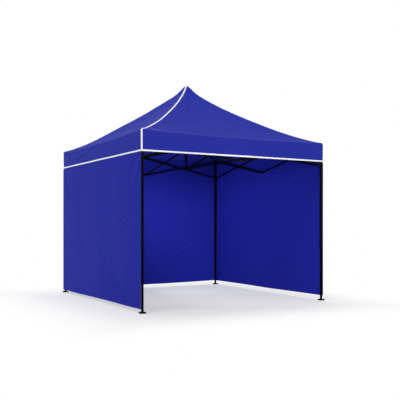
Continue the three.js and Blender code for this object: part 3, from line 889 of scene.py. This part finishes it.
def rivet_head():
    """A low domed head that stands on the XY plane."""
    bpy.ops.mesh.primitive_cylinder_add(vertices=20, radius=HEAD_RADIUS, depth=HEAD_HEIGHT)
    head = bpy.context.object
    select_faces(head, lambda centre, normal: normal.z > LEVEL)
    for step in HEAD_STEPS:
        bpy.ops.mesh.inset(thickness=step)
        bpy.ops.transform.translate(value=(0, 0, HEAD_HEIGHT * 0.7 - step / 4))
    edit(False)
    head.data.transform(Matrix.Translation((0, 0, HEAD_HEIGHT / 2)))
    shade(40)
    head.data.materials.append(zinc)
    return head


def copied(pattern, name, places):
    """Copies of a pattern, joined as one piece. Places are (point, the way that it faces)."""
    bpy.ops.object.select_all(action="DESELECT")
    for point, facing in places:
        copy = placed(name, pattern.data.copy())
        turn = Vector(facing).to_track_quat("Z", "Y").to_matrix().to_4x4()
        copy.data.transform(Matrix.Translation(Vector(point)) @ turn)
        copy.select_set(True)
        bpy.context.view_layer.objects.active = copy
    if len(places) > 1:
        bpy.ops.object.join()
    piece = bpy.context.object
    piece.name = name
    return piece


def rivets():
    """Heads on the pins of the knuckles, brackets and sliders, and at the bars' crossings."""
    places = {}
    for side in range(4):
        outward, along = turned(side, 0, -1), turned(side, 1, 0)
        for end, corner in ((-1, CORNERS[side]), (1, CORNERS[(side + 1) % 4])):
            for level, height in (("upper", UPPER), ("lower", LOWER)):
                leg_body = f"{corner}_outer_leg" if level == "upper" else f"{corner}_slider"
                pins = {f"{SIDES[side]}_{level}_knuckle": KNUCKLE_HALF, leg_body: LEG_PIN}
                for body, aside in pins.items():
                    point = outward * PLATE_FACE + along * end * aside + Vector((0, 0, height))
                    places.setdefault(body, []).append((point, outward))
            middle = along * end * (KNUCKLE_HALF + LEG_PIN) / 2 + Vector((0, 0, (UPPER + LOWER) / 2))
            faces = ((RIVET_FACE, outward), (INNER_FACE, -outward))
            spots = [(middle + outward * away, facing) for away, facing in faces]
            places[f"{SIDES[side]}_bar_to_{corner}_top"] = spots
    head = rivet_head()
    for body, spots in places.items():
        piece = copied(head, f"{body}_rivets", spots)
        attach(piece, body)
    bpy.data.objects.remove(head)


def leg_middle(corner):
    low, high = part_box(f"{corner}_inner_leg")
    return (low + high) / 2


def foot_weld(corner):
    """The weld bead round an inner leg, where it stands on its foot plate."""
    middle = leg_middle(corner)
    size = 2 * (TUBE_HALF + WELD_LEG)
    bead = block(size, WELD_LEG, (middle.x, middle.y, FOOT_TOP + WELD_LEG / 2))
    bead.name = f"{corner}_foot_weld"
    select_faces(bead, lambda centre, normal: normal.z > LEVEL)
    top = 1 - 1.7 * WELD_LEG / size
    bpy.ops.transform.resize(value=(top, top, 1), center_override=middle)
    bpy.ops.mesh.select_all(action="SELECT")
    bpy.ops.mesh.subdivide(number_cuts=11)
    edit(False)
    for vertex in bead.data.vertices:
        ripple = math.sin(vertex.co.x * RIPPLE_TURN) * math.sin(vertex.co.y * RIPPLE_TURN)
        vertex.co.z += RIPPLE * ripple * (vertex.co.z > FOOT_TOP + WELD_LEG / 3)
    shade(50)
    bead.data.materials.append(scuffed_steel)
    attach(bead, f"{corner}_inner_leg")


def foot_shoe():
    """A moulded shoe that grips a foot plate's rim, with a web over it and a hole for the weld."""
    outer, grip, hole = FOOT_HALF + SHOE_WALL, FOOT_HALF + SHOE_GAP, TUBE_HALF + WELD_LEG + WELD_GAP
    web_low = FOOT_TOP + SHOE_GAP
    shoe = block(2 * outer, SHOE_HEIGHT)
    for way, depth in ((1, SHOE_HEIGHT - web_low - SHOE_WEB), (-1, web_low)):
        inner = outer - SHOE_WALL if way > 0 else grip
        select_faces(shoe, lambda centre, normal: normal.z * way > LEVEL)
        bpy.ops.mesh.inset(thickness=outer - inner)
        bpy.ops.mesh.extrude_region_move(TRANSFORM_OT_translate={"value": (0, 0, -way * depth)})
        bpy.ops.mesh.inset(thickness=inner - hole)
        edit(False)
    select_faces(shoe, lambda centre, normal: abs(normal.z) > LEVEL and centre.xy.length < NEAR)
    bpy.ops.mesh.bridge_edge_loops()
    edit(False)
    apply_modifier(shoe, "BEVEL", width=SHOE_EDGE, segments=2, limit_method="ANGLE")
    shade(35)
    shoe.data.transform(Matrix.Translation((0, 0, SHOE_HEIGHT / 2)))
    shoe.data.materials.append(nylon)
    return shoe


def foot_shoes():
    shoe = foot_shoe()
    for corner in CORNERS:
        place = (*leg_middle(corner).xy, 0)
        piece = copied(shoe, f"{corner}_foot_shoe", [(place, (0, 0, 1))])
        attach(piece, f"{corner}_inner_leg")
    bpy.data.objects.remove(shoe)


rivets()
foot_shoes()
for corner in CORNERS:
    foot_weld(corner)


# Roof strips, hung from the mast

LEAST_KEPT = 0.01
STRIP_STEP = 0.018
STRIP_COLUMNS = 7
CAP_RADIUS = 1.4 * CAP_HALF
CAP_RINGS = 8
CAP_LIFT = 0.0005
CAP_DOME = 0.006
CAP_CLOTH = 0.001


def gather(piece, out):
    """Hangs a strip of the roof from the mast. out is its middle at the eave."""
    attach(piece, "mast_assembly")
    reach, heading = out.length, out.normalized()
    shift = Vector((-reach * FOLD_TRAVEL / ROOF_HALF, FOLD_DROP))
    line = shift.normalized()
    fall = abs(reach * line.x - ROOF_RISE * line.y)
    keep = max(LEAST_KEPT, 1 - shift.length / fall)
    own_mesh(piece)


def hang(piece, side):
    """Hangs a piece from a side's truss."""
    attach(piece, f"{SIDES[side]}_upper_knuckle")
    axis = (1, 0, 0) if side % 2 == 0 else (0, 1, 0)
    1 - FOLD_TRAVEL / ROOF_HALF
    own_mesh(piece)


def slope_length(r):
    """How far along the slope a gore's level lies from the peak, at its middle."""
    levels = np.linspace(0, 1, 200)
    up = gore_height(0, np.zeros_like(levels), levels)
    steps = np.hypot(np.diff(levels) * ROOF_HALF, np.diff(up))
    return np.interp(r, levels, np.concatenate([[0], np.cumsum(steps)]))


def gore_cut(a, r):
    return ROOF_HALF * r * a, -slope_length(r)


def roof_strip(side, k):
    name = f"{SIDES[side]}_roof_strip_{k + 1}"
    low, high = np.linspace(-1, 1, STRIPS + 1)[k : k + 2]
    folds = beside(ROOF_FOLD_LEVELS, [0, 0.006, 0.014])
    across = np.linspace(low, high, STRIP_COLUMNS)
    span = (1 - STRIP_START, 1 - CAP_HALF / ROOF_HALF)
    up = 1 - lines(*span, STRIP_STEP, [1 - d / ROOF_HALF for d in folds])
    piece = sheet(name, across, up, partial(gore_points, side), gore_cut, roof_cloth)
    gather(piece, turned(side, ROOF_HALF * (low + high) / 2, -ROOF_HALF))
    width, length = ROOF_HALF * (high - low), float(slope_length(1.0))
    width * length / 2
    return piece


def hip_binding(side):
    r = np.concatenate([np.linspace(STRIP_START, 0.1, 70), np.linspace(0.095, 0.006, 24)])
    insets = HIP_TAPE * math.sqrt(2) / (ROOF_HALF * r)
    piece = seam_binding("hip", side, r, gore_points, insets, HIP_TAPE, HIP_THICK_SHARES, hip_tape)
    gather(piece, turned(side, -ROOF_HALF, -ROOF_HALF))
    return piece


def peak_cap():
    """The round patch over the mast's tip."""
    bpy.ops.mesh.primitive_circle_add(vertices=48, radius=CAP_RADIUS, fill_type="NGON")
    piece = bpy.context.object
    piece.name = "peak_cap"
    edit()
    bpy.ops.mesh.select_all(action="SELECT")
    for _ in range(CAP_RINGS - 1):
        bpy.ops.mesh.inset(thickness=CAP_RADIUS / CAP_RINGS)
    bpy.ops.mesh.poke()
    edit(False)
    for vertex in piece.data.vertices:
        x, y = vertex.co.x, vertex.co.y
        edge = max(abs(x), abs(y), CAP_HALF)
        a = np.array([min(abs(x), abs(y)) / edge])
        z = gore_height(0, a, np.array([edge / ROOF_HALF]))[0] + CAP_LIFT
        dome = max(0.0, 1 - (math.hypot(x, y) / CAP_HALF) ** 2)
        vertex.co = (x + PEAK_LEAN[0], y + PEAK_LEAN[1], z + dome * CAP_DOME)
    apply_modifier(piece, "SOLIDIFY", thickness=CAP_CLOTH, offset=-1)
    piece.data.materials.append(roof_cloth)
    shade(60)
    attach(piece, "mast_assembly")


hip_tapes = [hip_binding(side) for side in range(4)]
peak_cap()
strips = [roof_strip(side, k) for side in range(4) for k in range(STRIPS)]
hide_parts("roof_cover")


# Valances with their hem and corner bindings

# How far the hem tape reaches under the cloth, where its round edge starts, and the notch on the cloth
HEM_UNDER = 0.0016
HEM_ROUND = 0.0005
HEM_NOTCH = 0.002
HEM_STATIONS = 180


def hem_section():
    """The hem tape's section: down its face, round the cloth's edge and up its back."""
    top, lift, under, back = HEM_TAPE, TAPE_LIFT, HEM_UNDER, CLOTH + TAPE_LIFT
    face = [(0.0, top), (lift, top - CLOTH), (lift * 1.1, top * 0.5), (lift, HEM_ROUND)]
    fold = [(lift * 0.4, -under * 0.8), (-CLOTH / 2, -under), (-CLOTH - lift * 0.4, -under * 0.8)]
    inside = [(-back, HEM_ROUND), (-back * 1.05, top * 0.5), (-back, top - CLOTH)]
    return face + fold + inside + [(-CLOTH, top), (-CLOTH / 2, top - HEM_NOTCH)]


def hem_binding(side):
    a = np.linspace(-1, 1, HEM_STATIONS)
    columns = []
    for out, up in hem_section():
        z = np.full_like(a, HEM + up)
        level = np.full_like(a, HEM + max(up, 0))
        stand = ROOF_HALF + valance_out(side, a, level) + out
        along, away = turn_corner((ROOF_HALF + out) * a, stand, turn_at(level))
        columns.append(quarter_turn(np.stack([along, -away, z], axis=1), side))
    stations = np.stack(columns, axis=1)
    heights = [HEM_TAPE - up for _, up in hem_section()]
    piece = tape(f"{SIDES[side]}_hem_binding", stations, heights, hem_tape)
    hang(piece, side)
    return piece


def corner_binding(side):
    """The tape that wraps the upright seam at a side's left end, from the hem round the eave."""
    u = np.concatenate([np.linspace(0.012, 1, 26), np.linspace(1.15, 2, 7)])
    insets = np.full_like(u, CORNER_TAPE / ROOF_HALF)
    thick = CORNER_THICK_SHARES
    piece = seam_binding("corner", side, u, valance_points, insets, CORNER_TAPE, thick, corner_tape)
    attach(piece, f"{CORNERS[side]}_outer_leg")
    return piece


def valance_cut(a, u):
    return ROOF_HALF * a, (EAVE - HEM) * np.clip(u, 0, 1) + EAVE_ROUND * np.clip(u - 1, 0, 1)


def valance(side):
    name = f"{SIDES[side]}_valance"
    across = lines(-1, 1, GRID_STEP / ROOF_HALF)
    up = np.concatenate([np.linspace(0, 1, 15), np.linspace(1.2, 2, 5)])
    piece = sheet(name, across, up, partial(valance_points, side), valance_cut, valance_cloth)
    hang(piece, side)
    bindings = [hem_binding(side), corner_binding(side)]
    flat = (2 * ROOF_HALF, EAVE - HEM + EAVE_ROUND)


for side in range(4):
    valance(side)


# Walls


def wall_cut(x, z):
    return x, z - WALL_BOTTOM


def wall(side):
    name = f"{SIDES[side]}_wall"
    start, end = wall_span(side)
    width, height = end - start, WALL_TOP - WALL_BOTTOM
    near = [0, 0.003, 0.008, 0.016]
    edge_lines = [WALL_HEM - LAP_EDGE, WALL_HEM]
    seam = width * WALLS[side]["seam_share"]
    columns = edge_lines + [width - e for e in edge_lines]
    columns += beside([seam], [SEAM_HALF - LAP_EDGE, SEAM_HALF])
    columns += beside([width * share for share in WALL_FOLD_SHARES], near)
    levels = [WALL_BOTTOM + e for e in edge_lines] + beside(FOLD_LINE_HEIGHTS, near)
    across = lines(0, width, GRID_STEP, columns)
    up = lines(WALL_BOTTOM, WALL_TOP, GRID_STEP / 2, levels)
    stitches = WALL_HEM - HEM_STITCH_INSET
    rows = [("X", stitches), ("X", width - stitches), ("Y", stitches)]
    rows += [("X", seam - SEAM_STITCH), ("X", seam + SEAM_STITCH)]
    material = cloth_finish(f"{name}_cloth", WALL_TONES, 0.04, rows)
    surface = partial(wall_points, side, width, start)
    piece = sheet(f"{name}_cloth", across, up, surface, wall_cut, material)
    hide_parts(name)
    hang(piece, side)


for side in WALLS:
    wall(side)


# Floor, light and camera

FLOOR_SIZE = 160
FLOOR_DROP = 0.001
# The floor's shade: its middle, how far out it starts to fade and ends, and how faint it is
SHADE_CENTRE = (-0.2, -0.3)
SHADE_FADES = 1.5
SHADE_ENDS = 2.8
SHADE_LIFT_SHARE = 0.52
SKY = 0.32
LAMPS = {
    # The azimuth and elevation that it shines from, its strength and its spread
    "top": (160, 72, 0.93, 30),
    "side": (-75, 45, 0.82, 30),
    "low_left": (-38, 3, 0.98, 18),
    "low_front": (-4, 3, 0.88, 18),
}
SOFT_BOXES = {
    # Its place and size, as shares of the roof's half and the hem's height; heading, rise and power
    "opening": ((-0.4, -0.95, 0.55), (1, 0.6), -30, 14, 8),
    "corner": ((-0.3, 0.5, 0.62), (0.4, 0.6), -106, 10, 13),
}


def stage_floor():
    """A white floor that keeps the object's shadow, softened as in a cut-out picture."""
    bpy.ops.mesh.primitive_plane_add(size=FLOOR_SIZE, location=(0, 0, -FLOOR_DROP))
    floor = bpy.context.object
    floor.name = "floor"
    finish = Finish("pale_floor")
    seen = finish.seen()
    tone = finish.blend(seen, (0.8, 0.8, 0.8), (0.96, 0.96, 0.96))
    finish.done(Base_Color=tone, Roughness=0.9, Specular_IOR_Level=0.0)
    glow = finish.node("ShaderNodeEmission", inputs={"Color": (1.0, 1.0, 1.0), "Strength": 1.0})
    place = finish.place()
    gaps = [(finish.axis(place, letter) - middle).size() for letter, middle in zip("XY", SHADE_CENTRE)]
    out = gaps[0].math("MAXIMUM", gaps[1])
    fading = {"Value": out, "From Min": SHADE_FADES, "From Max": SHADE_ENDS}
    far = finish.node("ShaderNodeMapRange", {"interpolation_type": "SMOOTHSTEP"}, fading)
    lift = seen * (SHADE_LIFT_SHARE + far * (1 - SHADE_LIFT_SHARE))
    base = Value(finish, finish.shader.outputs[0])
    mixed = finish.node("ShaderNodeMixShader", inputs={0: lift, 1: base, 2: glow})
    finish.plug(finish.output.inputs[0], mixed)
    floor.data.materials.append(finish.material)


def sky(strength):
    """An even white sky, which the camera sees as plain white."""
    world = bpy.data.worlds.new("studio")
    bpy.context.scene.world = world
    world.use_nodes = True
    shading = Shading(world.node_tree)
    background = next(node for node in world.node_tree.nodes if node.type == "BACKGROUND")
    levels = {"Value": shading.seen(), "To Min": strength, "To Max": 1.0}
    shading.plug(background.inputs["Color"], (1.0, 1.0, 1.0))
    shading.plug(background.inputs["Strength"], shading.node("ShaderNodeMapRange", inputs=levels))


def lamp(name, azimuth, elevation, strength, spread):
    """A broad lamp that shines from one direction, counted as a view's azimuth is."""
    light = bpy.data.lights.new(name, "SUN")
    light.energy = strength
    light.angle = math.radians(spread)
    sun = placed(name, light)
    a, e = math.radians(azimuth), math.radians(elevation)
    back = Vector((math.sin(a) * math.cos(e), -math.cos(a) * math.cos(e), math.sin(e)))
    sun.rotation_mode = "QUATERNION"
    sun.rotation_quaternion = back.to_track_quat("Z", "Y")


def soft_box(name, place, size, heading, rise, power):
    """A soft box under the roof that lights the inner faces of the walls."""
    light = bpy.data.lights.new(name, "AREA")
    light.shape = "RECTANGLE"
    light.size, light.size_y = size[0] * ROOF_HALF, size[1] * HEM
    light.energy = power
    box = placed(name, light)
    box.location = (place[0] * ROOF_HALF, place[1] * ROOF_HALF, place[2] * HEM)
    box.rotation_euler = (math.radians(90 + rise), 0, math.radians(heading))
    box.visible_camera = False
    box.visible_glossy = False


def camera():
    data = bpy.data.cameras.new("camera")
    data.sensor_width = SENSOR_MM
    data.lens = FOCAL_PIXELS / FRAME_PIXELS * SENSOR_MM
    data.shift_x = (FRAME_PIXELS / 2 - HORIZON_PIXEL[0]) / FRAME_PIXELS
    data.shift_y = (HORIZON_PIXEL[1] - FRAME_PIXELS / 2) / FRAME_PIXELS
    data.clip_end = CLIP_END
    view = placed("camera", data)
    view.location = CAMERA_PLACE
    view.rotation_euler = (math.radians(90), 0, math.radians(CAMERA_AZIMUTH))
    bpy.context.scene.camera = view


stage_floor()
sky(SKY)
for name, settings in LAMPS.items():
    lamp(name, *settings)
for name, settings in SOFT_BOXES.items():
    soft_box(name, *settings)
camera()

bpy.context.scene.view_settings.view_transform = "Standard"
